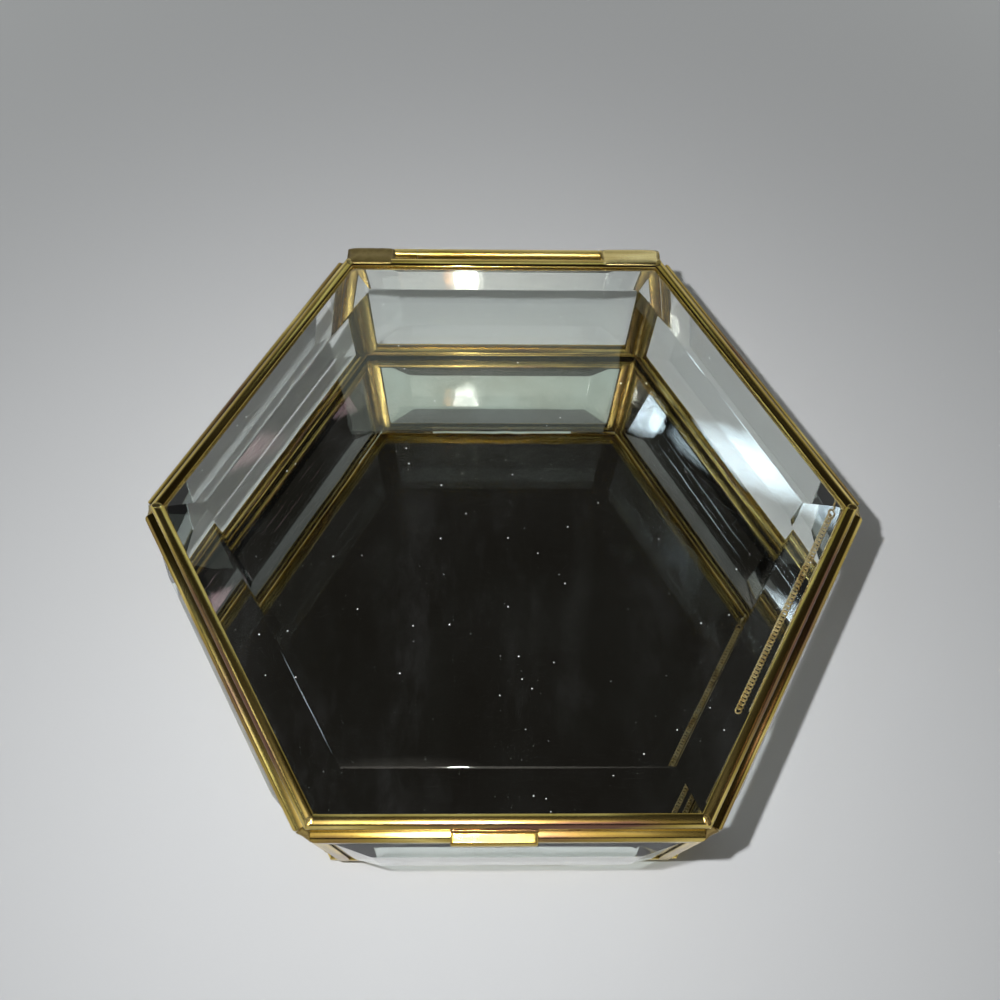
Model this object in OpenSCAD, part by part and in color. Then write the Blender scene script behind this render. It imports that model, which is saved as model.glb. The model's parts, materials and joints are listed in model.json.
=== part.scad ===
// Hexagonal glass casket: six bevelled panes in soldered brass came stand on a mirror,
// under a bevelled glass lid that turns on a tube hinge and is held by a stay chain.
// The origin is the middle of the underside, +Z is up and the hinge is on the +Y side.

/* [Box] */
// Distance between opposite outer faces of the wall frames
body_flats = 154; // [130:1:200]
// Height of the framed wall panes
wall_height = 46; // [38:1:70]
// Set-back of the base frame from the outer face of the walls
base_setback = 0.5; // [0.3:0.1:1.2]

/* [Lid] */
// How far the lid frame stands back from the outer face of the walls
lid_inset = 3.1; // [1.5:0.1:4.5]
// Depth of the lid's brass legs over the glass
lid_leg = 3; // [2.4:0.1:4]
// How far the lid sits forward of the middle of the box
lid_forward = 0.8; // [0:0.1:1.2]
// Height of the slit between the walls and the closed lid
lid_slit = 0.3; // [0.2:0.05:0.6]

/* [Brass came] */
// Width of the U-shaped came across the glass
came_width = 4; // [3.6:0.1:5]
// Depth of the legs over the glass on the walls and the base
came_leg = 3.4; // [2.6:0.1:4.5]
// Thickness of the brass sheet
sheet = 0.45; // [0.3:0.05:0.6]
// Radius of the rolled outer corners of the came
came_round = 0.9; // [0.5:0.05:1.2]
// Gap left at each mitre and at each inner corner of the walls
mitre_gap = 0.05; // [0.02:0.01:0.15]

/* [Glass] */
// Thickness of the bevelled plate glass
glass_thick = 5.5; // [4.5:0.1:6.5]
// Width of the bevel, from the edge of the glass
bevel_width = 11.5; // [8:0.5:14]
// Play between the faces of the glass and the legs
face_play = 0.05; // [0.02:0.01:0.1]
// Play between the edge of the glass and the bottom of the came
edge_play = 0.15; // [0.05:0.05:0.4]
// Thickness of the silver and paint on the back of the mirror
backing_thick = 0.3; // [0.2:0.05:0.5]

/* [Hinge] */
// Outer diameter of the hinge tube
tube_dia = 2.8; // [2.4:0.1:3.6]
// Diameter of the hinge pin
pin_dia = 1.4; // [1:0.1:1.8]
// Running clearance between the pin and the tube, on the radius
pin_play = 0.05; // [0.02:0.01:0.1]
// Length of the lid's knuckle at the left end, seen from the front
left_knuckle = 18.4; // [12:0.1:26]
// Length of the lid's knuckle at the right end
right_knuckle = 16; // [12:0.1:26]
// Gap between neighbouring knuckles
knuckle_gap = 0.2; // [0.1:0.05:0.5]
// Distance from the outer face of the back wall in to the pin
hinge_inset = 0.8; // [0.4:0.1:1.2]

/* [Pull tab] */
// Width of the pull tab on the lid
tab_width = 18.5; // [12:0.5:30]
// How far the pull tab sits to the right of the middle
tab_offset = -3; // [-15:0.1:15]
// Thickness of the pull tab
tab_thick = 0.5; // [0.4:0.1:0.8]
// Length of the lip turned down over the front wall
tab_drop = 2.4; // [1.5:0.1:4]
// Clearance between the tab and the front wall
tab_clear = 0.4; // [0.3:0.1:0.8]

/* [Stay chain] */
// Diameter of the chain wire
wire_dia = 0.4; // [0.3:0.05:0.5]
// Mean diameter of a chain link
link_dia = 1.5; // [1.3:0.05:1.8]
// Play between two linked links
link_play = 0.05; // [0.02:0.01:0.1]
// Length of each half of the folded chain, which decides how far the lid opens
strand_length = 56; // [40:1:58]
// Distance between the two halves of the folded chain
strand_spacing = 2.9; // [2.7:0.1:3.5]
// Mean radius of the eye at each end of the chain
eye_radius = 0.9; // [0.8:0.05:1.1]
// Clearance of the chain from the wall and from the lid
chain_clear = 0.35; // [0.3:0.05:0.8]

/* [Hidden] */
$fn = 64;
SIDES = ["back", "back_left", "front_left", "front", "front_right", "back_right"];

// Hexagon: half the angle between two neighbouring sides, as a slope
hex_slope = tan(30);
// Overshoot of a cutting tool past the face it cuts
over = 1;

// Wall ring
wall_out = body_flats / 2;
wall_in = wall_out - came_width;
panel_half = wall_in * hex_slope - mitre_gap;
wall_bottom = came_width;
wall_top = wall_bottom + wall_height;
base_out = wall_out - base_setback;

// Lid
lid_bottom = wall_top + lid_slit;
lid_top = lid_bottom + came_width;
lid_out = wall_out - lid_inset;
lid_in = lid_out - lid_leg;

// Glass: the thickness that fits between the legs, and the cut size of a pane
seat_thick = came_width - 2 * (sheet + face_play);
edge_inset = sheet + edge_play;

// Hinge
tube_r = tube_dia / 2;
pin_r = pin_dia / 2;
hinge_y = wall_out - hinge_inset;
hinge_z = wall_top + lid_slit + tube_r;
hinge_end = panel_half;
left_seam = left_knuckle - hinge_end;
right_seam = hinge_end - right_knuckle;

// Chain: both halves lie along the front right wall, from its back end
wire_r = wire_dia / 2;
link_r = link_dia / 2;
link_pitch = link_dia - wire_dia - link_play;
link_reach = link_r + wire_r;
first_link = link_r - wire_dia - link_play;
link_count = floor((strand_length - first_link - link_reach) / link_pitch) + 1;
chain_z = lid_bottom - chain_clear - link_reach;
lower_row = wall_in - chain_clear - link_reach;
upper_row = lower_row - strand_spacing;
anchor_step = 1.5;
front_right = [cos(30), -sin(30), 0];
along_rail = [-sin(30), -cos(30), 0];
strand_reach = first_link + (link_count - 1) * link_pitch + link_reach;
elbow_gap = 0.3;

// ---- Places -------------------------------------------------------------------

// Turns a piece drawn at the back wall to side number i
module at_side(i) {
  rotate([0, 0, 60 * i]) children();
}

// Turns a piece drawn at the right-hand corner to corner number i
module at_corner(i) {
  rotate([0, 0, 60 * i]) children();
}

module on_lid() {
  translate([0, -lid_forward, 0]) children();
}

// ---- Came ---------------------------------------------------------------------

// Rolled U section: x runs from the web into the glass, y across the glass
module came_section(leg) {
  lip_r = sheet / 2;
  difference() {
    union() {
      translate([came_round, 0]) square([leg - came_round - lip_r, came_width]);
      translate([0, came_round]) square([2 * came_round, came_width - 2 * came_round]);
      for (y = [came_round, came_width - came_round]) {
        translate([came_round, y]) circle(came_round);
      }
      for (y = [lip_r, came_width - lip_r]) {
        translate([leg - lip_r, y]) circle(lip_r);
      }
    }
    translate([sheet, sheet]) square([leg, came_width - 2 * sheet]);
  }
}

// Straight length along X with its web at Y = 0 and its legs towards +Y, both ends
// cut back by slope for each millimetre of depth
module came_bar(leg, half, slope) {
  near = half + slope * over;
  far = half - slope * (leg + over);
  intersection() {
    rotate([90, 0, 90]) linear_extrude(2 * (half + over), center = true) came_section(leg);
    translate([0, 0, -over]) linear_extrude(came_width + 2 * over)
      polygon([[-near, -over], [near, -over], [far, leg + over], [-far, leg + over]]);
  }
}

// One side of a flat hexagonal frame, resting on height z
module hex_rail(out, leg, z) {
  translate([0, out, z]) rotate([0, 0, 180])
    came_bar(leg, out * hex_slope - mitre_gap, hex_slope);
}

// One length of a wall frame, at distance reach from the middle of its pane, turned
// from the bottom of the pane round to its place
module wall_bar(half, reach, turn) {
  translate([0, wall_out, wall_bottom + wall_height / 2]) rotate([0, turn, 0])
    translate([0, 0, -reach]) rotate([90, 0, 0]) came_bar(came_leg, half - mitre_gap, 1);
}

// ---- Glass --------------------------------------------------------------------

// Thickness at the edge of a pane whose bevel is as thick as the came's mouth
// where it leaves the legs
function edge_thick(leg) =
  let (hidden = leg - edge_inset)
  (seat_thick - hidden * glass_thick / bevel_width) / (1 - hidden / bevel_width);

// Wedge ground off along an edge that runs along X at Y = 0, the glass towards +Y
module bevel_cut(leg, length) {
  edge = edge_thick(leg);
  rise = (glass_thick - edge) / bevel_width * over;
  rotate([90, 0, 90]) linear_extrude(length, center = true)
    polygon([
      [-over, edge - rise], [bevel_width + over, glass_thick + rise],
      [-over, glass_thick + rise]
    ]);
}

// Rectangular pane with its bevel on the outer face
module wall_pane() {
  half_w = panel_half - edge_inset;
  half_h = wall_height / 2 - edge_inset;
  translate([0, wall_in + sheet + face_play, wall_bottom + wall_height / 2])
    rotate([90, 0, 180])
      difference() {
        translate([-half_w, -half_h, 0]) cube([2 * half_w, 2 * half_h, glass_thick]);
        for (a = [0, 180]) {
          rotate([0, 0, a]) translate([0, -half_h, 0]) bevel_cut(came_leg, 2 * half_w + 2 * over);
        }
        for (a = [90, 270]) {
          rotate([0, 0, a]) translate([0, -half_w, 0]) bevel_cut(came_leg, 2 * half_h + 2 * over);
        }
      }
}

// Hexagonal plate with flat sides at the back and the front
module hex_plate(out, thick) {
  linear_extrude(thick) circle(out / cos(30), $fn = 6);
}

module lid_pane() {
  out = lid_out - edge_inset;
  color("lightblue", 0.4) on_lid() translate([0, 0, lid_bottom + sheet + face_play])
    difference() {
      hex_plate(out, glass_thick);
      for (i = [0:5]) {
        rotate([0, 0, 60 * i]) translate([0, -out, 0])
          bevel_cut(lid_leg, 2 * out * hex_slope + 2 * over);
      }
    }
}

module mirror_glass() {
  color("silver") translate([0, 0, sheet + face_play + backing_thick])
    hex_plate(base_out - edge_inset, seat_thick - backing_thick);
}

module mirror_backing() {
  color("dimgray") translate([0, 0, sheet + face_play])
    hex_plate(base_out - edge_inset, backing_thick);
}

// ---- Solder -------------------------------------------------------------------

// Point on the cut end of a wall frame, at a distance out from the middle of the box
function end_point(out) = let (step = panel_half + mitre_gap / 2)
  [out * cos(30) + step * sin(30), out * sin(30) - step * cos(30)];

// Solder in the open corner between two wall frames, from the inner corner outwards
module corner_fill(deep, height) {
  near = end_point(wall_in + mitre_gap * 4);
  far = end_point(wall_in + deep);
  hollow = far[1] * 1.6;
  linear_extrude(height) difference() {
    polygon([near, far, [far[0], -far[1]], [near[0], -near[1]]]);
    translate([far[0] + hollow * 0.8, 0]) circle(hollow);
  }
}

module corner_solder() {
  seam = came_width * 0.45;
  bridge = came_width * 0.9;
  bridge_height = came_leg;
  color("gold") for (i = [0:5]) {
    at_corner(i) {
      translate([0, 0, wall_bottom]) corner_fill(seam, wall_height);
      for (z = [wall_bottom, wall_top - bridge_height]) {
        translate([0, 0, z]) corner_fill(bridge, bridge_height);
      }
    }
  }
}

// Low drop of solder over a mitre of the lid frame
module solder_drop(radius, rise) {
  ball = (radius * radius + rise * rise) / (2 * rise);
  intersection() {
    translate([0, 0, rise - ball]) sphere(ball);
    cylinder(h = 2 * rise, r = 2 * radius);
  }
}

// Web of solder between the lid's back rail and one of its knuckles, along X
module lid_web(length) {
  rail_face = lid_out - lid_forward;
  web_top = hinge_z + tube_r * 0.75;
  rotate([90, 0, 90]) linear_extrude(length) difference() {
    polygon([
      [rail_face, hinge_z - tube_r * 0.5], [hinge_y, hinge_z - tube_r * 0.5],
      [hinge_y, web_top], [rail_face, web_top]
    ]);
    translate([hinge_y, hinge_z]) circle(tube_r);
  }
}

module lid_solder() {
  drop_at = (lid_out - lid_leg / 2) / cos(30);
  color("gold") {
    on_lid() for (i = [0:5]) {
      at_corner(i) translate([drop_at, 0, lid_top]) solder_drop(lid_leg * 0.4, sheet * 0.6);
    }
    translate([-hinge_end, 0, 0]) lid_web(left_knuckle);
    translate([right_seam, 0, 0]) lid_web(right_knuckle);
  }
}

// Solder that joins the middle knuckle to the top of the back wall
module hinge_solder() {
  foot = wall_out - came_round;
  start = left_seam + 2 * knuckle_gap;
  color("gold") translate([start, 0, 0]) rotate([90, 0, 90])
    linear_extrude(right_seam - 2 * knuckle_gap - start) difference() {
      polygon([
        [hinge_y - tube_r, wall_top], [foot, wall_top],
        [hinge_y + tube_r * 0.8, hinge_z - tube_r * 0.5], [hinge_y - tube_r * 0.8, hinge_z - tube_r * 0.5]
      ]);
      translate([hinge_y, hinge_z]) circle(tube_r);
    }
}

// ---- Hinge --------------------------------------------------------------------

// Length of hinge tube from x, bored for the pin
module knuckle(x, length) {
  color("goldenrod") translate([x, hinge_y, hinge_z]) rotate([0, 90, 0])
    difference() {
      cylinder(h = length, r = tube_r);
      translate([0, 0, -over]) cylinder(h = length + 2 * over, r = pin_r + pin_play);
    }
}

module hinge_knuckle() {
  start = left_seam + knuckle_gap;
  knuckle(start, right_seam - knuckle_gap - start);
}

module lid_knuckle_left() {
  knuckle(-hinge_end, left_knuckle);
}

module lid_knuckle_right() {
  knuckle(right_seam, right_knuckle);
}

module hinge_pin() {
  color("darkgoldenrod") translate([-hinge_end, hinge_y, hinge_z]) rotate([0, 90, 0])
    cylinder(h = 2 * hinge_end, r = pin_r);
}

// ---- Pull tab -----------------------------------------------------------------

// Bent strip: a leg on the lid's front rail, a ledge over the wall and a lip turned down
module pull_tab() {
  ledge_z = wall_top + tab_clear;
  lip_in = wall_out + tab_clear;
  rail_face = lid_out + lid_forward;
  leg_top = lid_top - came_round;
  color("gold") translate([tab_offset, 0, 0]) rotate([90, 0, -90])
    linear_extrude(tab_width, center = true) {
      translate([rail_face, ledge_z]) square([tab_thick, leg_top - ledge_z]);
      translate([rail_face, ledge_z]) square([lip_in - rail_face, tab_thick]);
      intersection() {
        translate([lip_in, ledge_z]) circle(tab_thick);
        translate([lip_in, ledge_z]) square(tab_thick);
      }
      translate([lip_in, ledge_z - tab_drop]) square([tab_thick, tab_drop]);
    }
}

// ---- Stay chain ---------------------------------------------------------------

// Distance of the chain's anchors from the hinge pin, in height and to the front
anchor_drop = chain_z - hinge_z;
anchor_front = hinge_y + anchor_step * cos(30);
// The lid stops where the two halves of the chain are pulled straight
lid_opening = 2 * asin((strand_reach + elbow_gap / 2) / norm([anchor_drop, anchor_front]));

// Direction in which each half of the chain points once the lid is fully open:
// upwards from the box, and downwards in the lid's own frame
function taut(turn) = let (half_turn = lid_opening / 2 * turn)
  turn * [0, anchor_front * sin(half_turn) + anchor_drop * cos(half_turn),
          anchor_front * cos(half_turn) - anchor_drop * sin(half_turn)];

// Roll about the chain that lays the swing of that half in its own X-Y plane
function swing_roll(direction) = let (pivot = cross(along_rail, direction))
  atan2(-(pivot * front_right), pivot[2]);

// Start of a half of the chain that lies at a distance row from the middle
function anchor(row) = front_right * row
  + along_rail * (anchor_step - row * hex_slope) + [0, 0, chain_z];

// Local X runs along the chain from its anchor and local Z is the pivot of its swing
module at_anchor(row, direction) {
  translate(anchor(row)) rotate([0, 0, 240]) rotate([swing_roll(direction), 0, 0]) children();
}

module ring(mean_r) {
  rotate_extrude() translate([mean_r, 0]) circle(wire_r, $fn = 32);
}

// Each link passes through the one before, a quarter turn round the chain
module strand(row, direction) {
  color("gold") at_anchor(row, direction) for (i = [0:link_count - 1]) {
    translate([first_link + i * link_pitch, 0, 0])
      rotate([i % 2 * 90, 0, 0]) ring(link_r);
  }
}

module eye(row, direction, tail) {
  at_anchor(row, direction) translate([-eye_radius, 0, 0]) {
    rotate([90, 0, 0]) ring(eye_radius);
    translate([-eye_radius, 0, 0]) rotate([0, -90, 0]) cylinder(h = tail, r = wire_r);
  }
}

module chain_lower() {
  strand(lower_row, taut(1));
}

module chain_upper() {
  strand(upper_row, taut(-1));
}

// Eye with a button of solder on the inner face of the back right wall's frame
module box_chain_eye() {
  to_wall = (wall_in - lower_row) / cos(30) + anchor_step;
  tail = to_wall - 2 * eye_radius - wire_r;
  color("gold") {
    eye(lower_row, taut(1), tail);
    translate(anchor(lower_row) - along_rail * to_wall) rotate([0, -90, 30])
      cylinder(h = wire_dia, r = wire_dia);
  }
}

// Eye on a wire that runs under the lid's back right rail and is soldered up to it
module lid_chain_eye() {
  rail_foot = lid_out - lid_leg * 0.75 - lid_forward / 2;
  to_rail = (rail_foot - upper_row) / cos(30) + anchor_step;
  tail = to_rail - 2 * eye_radius;
  color("gold") {
    eye(upper_row, taut(-1), tail);
    translate(anchor(upper_row) - along_rail * to_rail) {
      sphere(wire_dia);
      cylinder(h = lid_bottom - chain_z, r = wire_dia);
    }
  }
}

// ---- Pieces -------------------------------------------------------------------

module base_rail(i) {
  color("darkgoldenrod") at_side(i) hex_rail(base_out, came_leg, 0);
}

module framed_pane(i) {
  color("lightcyan", 0.4) at_side(i) wall_pane();
}

module wall_top_rail(i) {
  color("goldenrod") at_side(i) wall_bar(panel_half, wall_height / 2, 180);
}

module wall_bottom_rail(i) {
  color("goldenrod") at_side(i) wall_bar(panel_half, wall_height / 2, 0);
}

// Left and right as seen from outside the box
module wall_left_rail(i) {
  color("goldenrod") at_side(i) wall_bar(wall_height / 2, panel_half, 270);
}

module wall_right_rail(i) {
  color("goldenrod") at_side(i) wall_bar(wall_height / 2, panel_half, 90);
}

module lid_rail(i) {
  color("gold") on_lid() at_side(i) hex_rail(lid_out, lid_leg, lid_bottom);
}

mirror_glass();
mirror_backing();
for (i = [0:5]) {
  base_rail(i);
  framed_pane(i);
  wall_top_rail(i);
  wall_bottom_rail(i);
  wall_left_rail(i);
  wall_right_rail(i);
  lid_rail(i);
}
corner_solder();
hinge_knuckle();
hinge_pin();
hinge_solder();
box_chain_eye();
chain_lower();
lid_pane();
lid_solder();
lid_knuckle_left();
lid_knuckle_right();
pull_tab();
lid_chain_eye();
chain_upper();
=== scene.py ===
"""Hexagonal glass casket: looks, panes, solder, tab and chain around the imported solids."""

import json

import bpy
import numpy as np
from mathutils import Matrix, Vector


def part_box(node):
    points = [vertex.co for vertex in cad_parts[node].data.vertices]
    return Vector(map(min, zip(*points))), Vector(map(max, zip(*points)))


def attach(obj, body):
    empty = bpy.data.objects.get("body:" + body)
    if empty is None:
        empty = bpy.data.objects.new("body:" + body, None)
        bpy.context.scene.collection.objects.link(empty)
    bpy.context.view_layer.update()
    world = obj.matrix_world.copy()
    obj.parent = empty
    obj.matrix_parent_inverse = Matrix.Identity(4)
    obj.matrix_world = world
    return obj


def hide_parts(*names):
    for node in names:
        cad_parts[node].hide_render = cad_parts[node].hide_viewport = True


bl_info = {
    "name": "Bevelled Glass Casket",
    "version": (1, 0, 0),
    "blender": (4, 5, 0),
    "location": "3D View > Sidebar > Casket",
    "description": "Builds the glass, brass, solder, mirror and stay chain of a hexagonal casket",
    "category": "Object",
}

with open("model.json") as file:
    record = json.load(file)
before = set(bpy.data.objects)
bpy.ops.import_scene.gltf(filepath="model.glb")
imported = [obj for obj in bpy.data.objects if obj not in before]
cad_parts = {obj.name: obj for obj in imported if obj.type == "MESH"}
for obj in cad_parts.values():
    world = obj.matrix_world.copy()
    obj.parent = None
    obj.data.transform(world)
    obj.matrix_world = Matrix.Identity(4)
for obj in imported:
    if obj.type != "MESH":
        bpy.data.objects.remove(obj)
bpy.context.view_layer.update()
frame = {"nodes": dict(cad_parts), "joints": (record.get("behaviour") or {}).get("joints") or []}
NODES = frame["nodes"]
JOINTS = {j["name"]: j for j in frame["joints"]}
MM = 0.001
# Points nearer than this lie in one plane
HAIR = 0.01 * MM

SIDES = ("back", "back_left", "front_left", "front", "front_right", "back_right")
TURNS = np.radians(60) * np.arange(6)
# Direction of both halves of the folded chain, along the front right wall
ALONG_RAIL = np.array([-0.5, -np.cos(np.radians(30)), 0.0])


# ---- Surfaces worked out on a grid ---------------------------------------------------


def grid_faces(rows, columns, wrap_rows):
    """Quads between neighbouring grid points. The last column joins the first, and with
    wrap_rows the last row joins the first too."""
    r, c = np.meshgrid(
        np.arange(rows if wrap_rows else rows - 1), np.arange(columns), indexing="ij"
    )
    r1, c1 = (r + 1) % rows, (c + 1) % columns
    quads = np.stack([r * columns + c1, r1 * columns + c1, r1 * columns + c, r * columns + c], -1)
    return quads.reshape(-1, 4)


def add_mesh(name, points, faces, smooth=True):
    """New object at the origin from an array of points and lists of faces."""
    mesh = bpy.data.meshes.new(name)
    mesh.from_pydata(points.reshape(-1, 3).tolist(), [], [list(map(int, f)) for f in faces])
    mesh.validate()
    mesh.polygons.foreach_set("use_smooth", np.full(len(mesh.polygons), smooth))
    mesh.update()
    piece = bpy.data.objects.new(name, mesh)
    bpy.context.collection.objects.link(piece)
    return piece


def closed_skin(sections):
    """Faces of a skin over a row of closed sections, each (columns, 3), with an end face on
    the first and on the last. The sections turn right-handed about their own direction."""
    rows, columns = sections.shape[:2]
    sides = grid_faces(rows, columns, False).tolist()
    last = (rows - 1) * columns
    return sides + [list(range(columns))[::-1], list(range(last, last + columns))]


def join_skins(name, skins):
    """One object from several closed skins."""
    points, faces, start = [], [], 0
    for sections in skins:
        points.append(sections.reshape(-1, 3))
        faces += [[start + k for k in face] for face in closed_skin(sections)]
        start += len(points[-1])
    return add_mesh(name, np.concatenate(points), faces)


def node_points(name):
    """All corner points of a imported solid."""
    mesh = NODES[name].data
    points = np.empty(len(mesh.vertices) * 3)
    mesh.vertices.foreach_get("co", points)
    return points.reshape(-1, 3)


def turned(points, angle):
    """Points turned about the vertical through the origin."""
    c, s = np.cos(angle), np.sin(angle)
    return points @ np.array([[c, s, 0.0], [-s, c, 0.0], [0.0, 0.0, 1.0]])


def ring_frames(tangent, across):
    """Two unit vectors square to each tangent, the first one as near to across as can be."""
    first = across - (across * tangent).sum(-1, keepdims=True) * tangent
    first /= np.linalg.norm(first, axis=-1, keepdims=True)
    return first, np.cross(tangent, first)


# ---- Materials -----------------------------------------------------------------------


def linear(code):
    """sRGB hex to linear RGBA: c/12.92 below 0.04045, else ((c + 0.055)/1.055)^2.4."""
    c = np.array([int(code[i : i + 2], 16) / 255 for i in (1, 3, 5)])
    c = np.where(c <= 0.04045, c / 12.92, ((c + 0.055) / 1.055) ** 2.4)
    return (*map(float, c), 1.0)


def add_node(tree, kind, settings=None, **inputs):
    """New node; settings go on the node, inputs on its sockets as values or as links. Stops
    are the places and colours of a ramp, and n2 stands for the socket number 2."""
    node = tree.nodes.new(kind)
    for key, value in (settings or {}).items():
        if key != "stops":
            setattr(node, key, value)
            continue
        elements = node.color_ramp.elements
        while len(elements) < len(value):
            elements.new(0.5)
        for element, (place, colour) in zip(elements, value):
            element.position = place
            element.color = linear(colour) if isinstance(colour, str) else (*[colour] * 3, 1)
    for key, value in inputs.items():
        numbered = key[0] == "n" and key[1:].isdigit()
        socket = node.inputs[int(key[1:]) if numbered else key.replace("_", " ")]
        if isinstance(value, bpy.types.NodeSocket):
            tree.links.new(value, socket)
        else:
            socket.default_value = value
    return node


def new_material(name):
    """Material with an empty tree, the place on the piece and the output node."""
    material = bpy.data.materials.new(name)
    material.use_nodes = True
    tree = material.node_tree
    tree.nodes.clear()
    where = add_node(tree, "ShaderNodeTexCoord").outputs["Object"]
    return material, tree, where, add_node(tree, "ShaderNodeOutputMaterial")


# Stretch of the patterns on brass that was never drawn
EVEN = (1, 1, 1)
# Height of the crown on a rolled face, and where the patches change colour
CROWN = 0.26 * MM
SKIN_STOPS = (0.35, 0.44, 0.53, 0.62, 0.72)


def brass(name, colours, rough, wave_mm, turn=(0, 0, 0), drawn=(12, 1, 1), crowns=()):
    """Brass sheet or tube, rolled and lacquered long ago. It mirrors the dark room and throws
    cream lines off every round edge. Long brown and purple patches about 6 mm wide are
    partly tarnish where air got under the lacquer and partly a painted reflection of the
    dark room. Draw lines under 1 mm apart run along it, and it isn't quite flat. The rolls
    left each face of the came a little crowned: crowns holds an axis, the place where a
    face starts on it and its width, and the normal leans as on a parabola."""
    bright, deep, tarnish_and_dark_reflection = colours
    material, tree, where, out = new_material(name)
    along = add_node(
        tree, "ShaderNodeMapping", {"vector_type": "TEXTURE"},
        Vector=where, Rotation=turn, Scale=drawn,
    ).outputs[0]
    # Width in millimetres, detail and roughness of the patches, draw lines, pits and waves
    patches, lines, pits, waves = (
        add_node(
            tree, "ShaderNodeTexNoise", None,
            Vector=way, Scale=1 / (width * MM), Detail=detail, Roughness=grain,
        ).outputs["Fac"]
        for way, width, detail, grain in (
            (along, 6, 3.0, 0.5),
            (along, 0.8, 3.0, 0.6),
            (where, 0.7, 3.0, 0.7),
            (along, wave_mm, 2.0, 0.5),
        )
    )
    # The patches blend bright, deep and purple-brown brass: partly tarnish, partly a painted
    # reflection of the dark room
    skin = add_node(
        tree, "ShaderNodeValToRGB",
        {"stops": list(zip(SKIN_STOPS, (tarnish_and_dark_reflection, deep, bright, deep, tarnish_and_dark_reflection)))},
        Fac=patches,
    ).outputs[0]
    worn = add_node(
        tree, "ShaderNodeValToRGB", {"stops": [(0.3, 0.4), (0.42, 0.85), (0.6, 1.0)]}, Fac=pits,
    ).outputs[0]
    colour = add_node(
        tree, "ShaderNodeMix", {"data_type": "RGBA", "blend_type": "MULTIPLY"},
        n0=0.25, n6=skin, n7=worn,
    )
    gloss = add_node(
        tree, "ShaderNodeMapRange", None,
        Value=patches, n1=0.3, n2=0.7, n3=rough + 0.06, n4=rough - 0.04,
    )
    dents = add_node(
        tree, "ShaderNodeBump", None, Strength=0.3, Distance=0.1 * MM, Height=waves,
    )
    side_frame = add_node(
        tree, "ShaderNodeMapping", {"vector_type": "TEXTURE"}, Vector=where, Rotation=turn,
    )
    axes = add_node(tree, "ShaderNodeSeparateXYZ", None, Vector=side_frame.outputs[0])
    fall = 0.0
    for axis, start, width in crowns:
        reach = axes.outputs[axis]
        # The left and the right upright mirror each other
        if axis == "X":
            reach = add_node(
                tree, "ShaderNodeMath", {"operation": "ABSOLUTE"}, n0=reach,
            ).outputs[0]
        reach = add_node(
            tree, "ShaderNodeMath", {"operation": "SUBTRACT"}, n0=reach, n1=start,
        )
        near = add_node(
            tree, "ShaderNodeMath", {"operation": "PINGPONG"}, n0=reach.outputs[0], n1=width / 2,
        )
        off = add_node(
            tree, "ShaderNodeMapRange", None,
            Value=near.outputs[0], n1=0.0, n2=width / 2, n3=-1.0, n4=0.0,
        )
        square = add_node(
            tree, "ShaderNodeMath", {"operation": "MULTIPLY"},
            n0=off.outputs[0], n1=off.outputs[0],
        )
        fall = add_node(
            tree, "ShaderNodeMath", {"operation": "SUBTRACT"}, n0=fall, n1=square.outputs[0],
        ).outputs[0]
    crown = add_node(
        tree, "ShaderNodeBump", None,
        Strength=1.0, Distance=CROWN, Height=fall, Normal=dents.outputs[0],
    )
    scratches = add_node(
        tree, "ShaderNodeBump", None,
        Strength=0.1, Distance=0.02 * MM, Height=lines, Normal=crown.outputs[0],
    )
    shader = add_node(
        tree, "ShaderNodeBsdfPrincipled", None,
        Base_Color=colour.outputs[2], Metallic=1.0, Roughness=gloss.outputs[0],
        Normal=scratches.outputs[0],
    )
    tree.links.new(shader.outputs[0], out.inputs["Surface"])
    return material


# Width of a cell that may hold a speck of dust, and radius of the speck in cells
SPECK_CELL, SPECK = 3.6 * MM, 0.042
# Width of the wiped smears, and of the waves that polishing left
SMEAR, POLISH_WAVE = 14 * MM, 9 * MM
# Share of a lamp's light that gets through a plate, from straight on to edge on
LET_THROUGH = [(0.0, 0.98), (0.5, 0.94), (0.7, 0.9), (0.85, 0.8), (1.0, 0.2)]


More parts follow.
